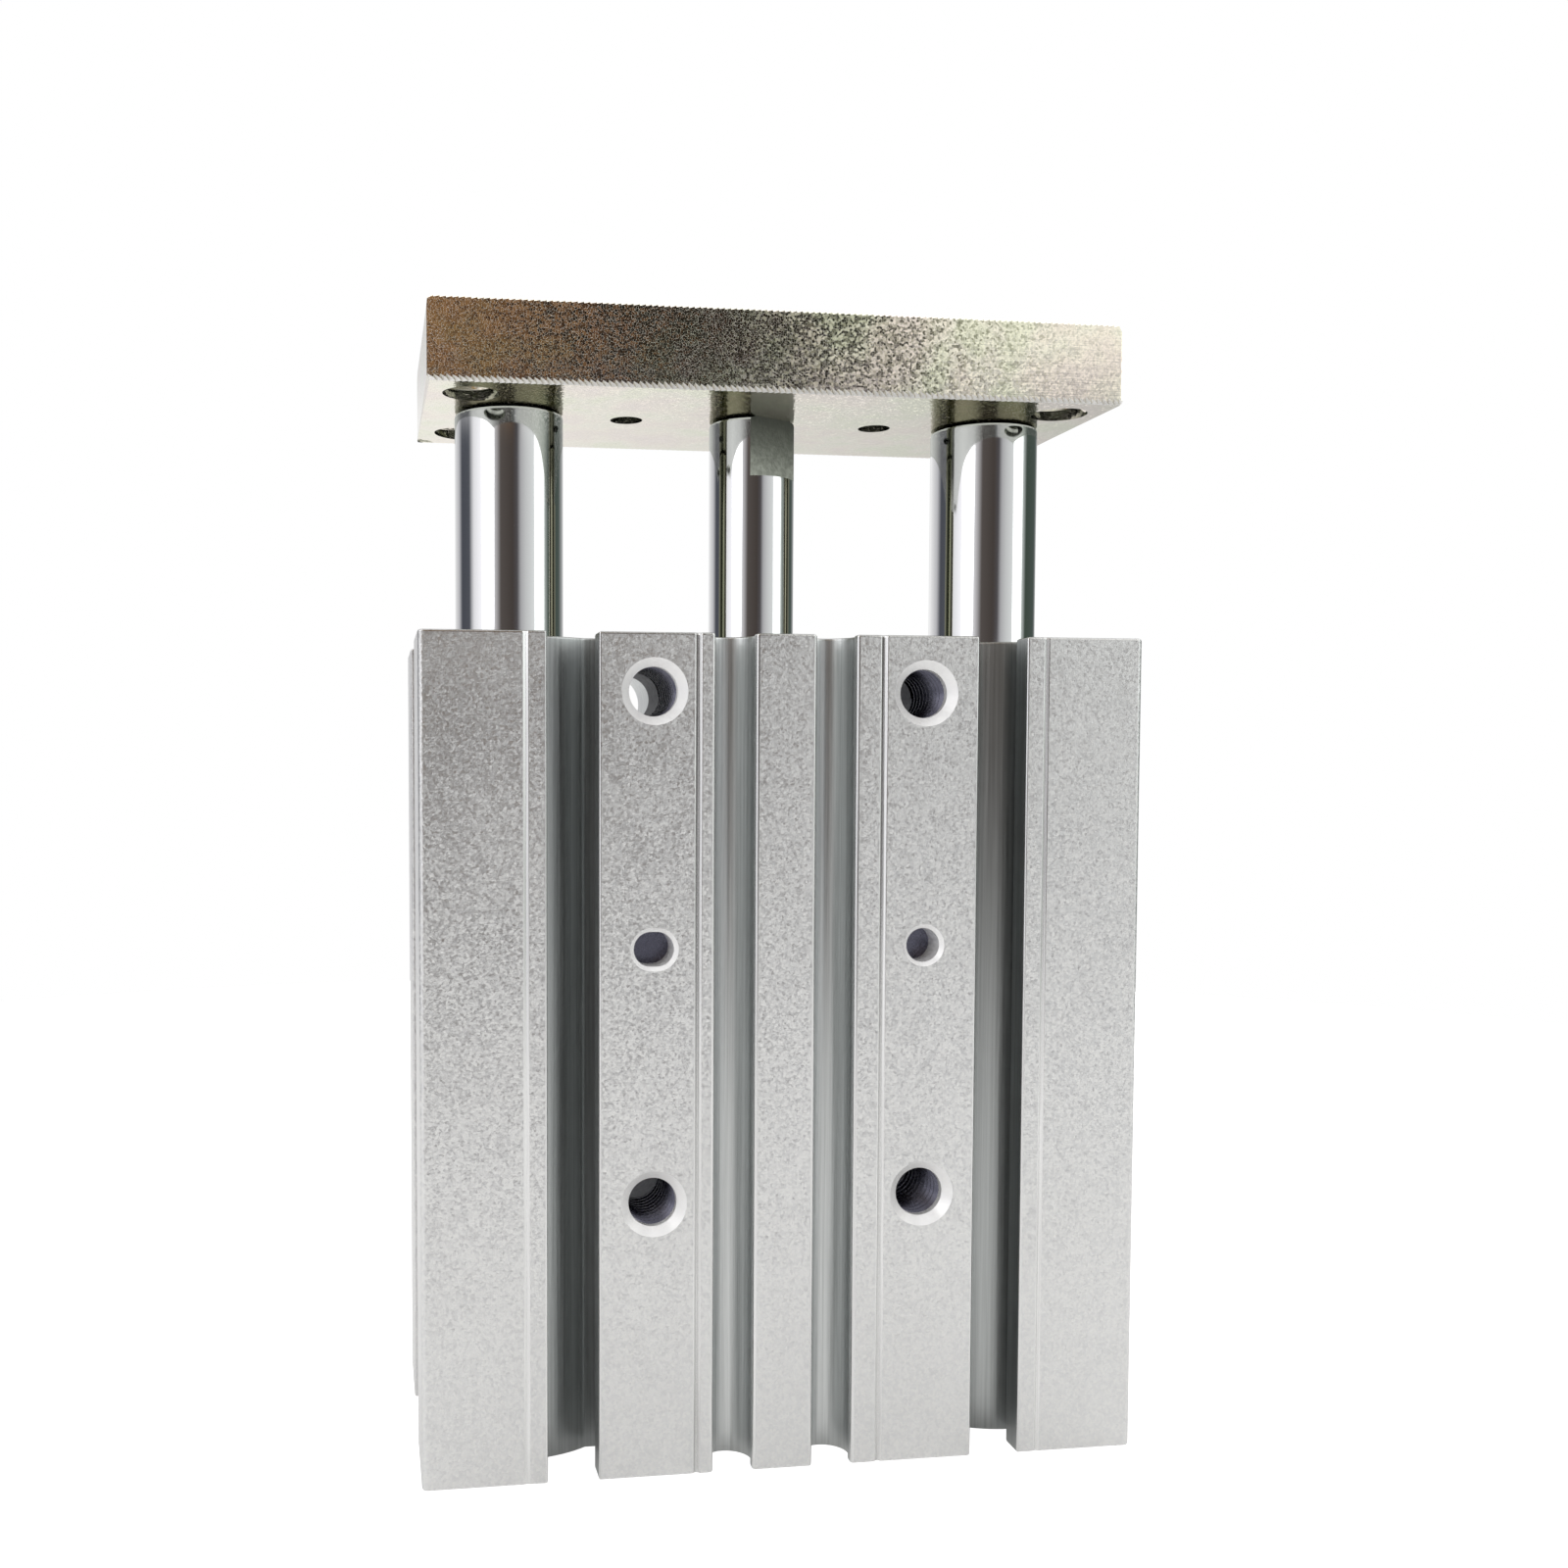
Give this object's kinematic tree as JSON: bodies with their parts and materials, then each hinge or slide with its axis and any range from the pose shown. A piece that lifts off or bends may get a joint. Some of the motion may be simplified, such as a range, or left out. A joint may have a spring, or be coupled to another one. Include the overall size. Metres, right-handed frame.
{
  "type": "guided pneumatic cylinder",
  "caption": "Compact guided pneumatic cylinder: a slotted extruded body whose guide rods and piston rod carry a drilled end plate.",
  "frame": {"origin": "centre of the body's rear end, on the plane the part stands on", "axes": "+Z along the rods towards the end plate, -Y out of the wide face with the mounting threads, +X across the width"},
  "size_m": [0.064, 0.03, 0.101],
  "materials": {
    "anodised_aluminium": "bead blasted and clear anodised, satin",
    "turned_aluminium": "turned, satin",
    "plated_steel": "milled and nickel plated",
    "hard_chrome": "ground and hard chrome plated, mirror",
    "bronze": "sintered, satin",
    "black_rubber": "moulded, satin",
    "bumper_rubber": "moulded polyurethane, satin",
    "spring_steel": "blackened spring steel",
    "felt": "grease soaked wool felt",
    "magnet": "bonded ferrite, matt",
    "wear_plastic": "filled acetal, matt",
    "black_oxide": "black oxide"
  },
  "bodies": {
    "cylinder_body": {"body_extrusion": "anodised_aluminium", "head_cover": "turned_aluminium", "head_cover_o_ring": "black_rubber", "head_cover_snap_ring": "spring_steel", "rear_bumper": "bumper_rubber", "rod_cover": "turned_aluminium", "rod_cover_o_ring": "black_rubber", "rod_cover_snap_ring": "spring_steel", "rod_seal": "black_rubber", "front_bumper": "bumper_rubber", "front_guide_bush_left": "bronze", "front_guide_bush_right": "bronze", "rear_guide_bush_left": "bronze", "rear_guide_bush_right": "bronze", "felt_ring_left": "felt", "felt_ring_right": "felt"},
    "moving_plate": {"end_plate": "plated_steel", "guide_rod_left": "hard_chrome", "guide_rod_right": "hard_chrome", "piston_rod": "hard_chrome", "piston": "turned_aluminium", "piston_seal": "black_rubber", "piston_magnet": "magnet", "wear_ring": "wear_plastic", "guide_bolts": "black_oxide", "rod_bolt": "black_oxide"}
  },
  "joints": [
    {"name": "rod_slide", "type": "slide", "parent": "cylinder_body", "child": "moving_plate", "axis": [0, 0, 1], "range_m": [-0.015, 0.025]}
  ]
}
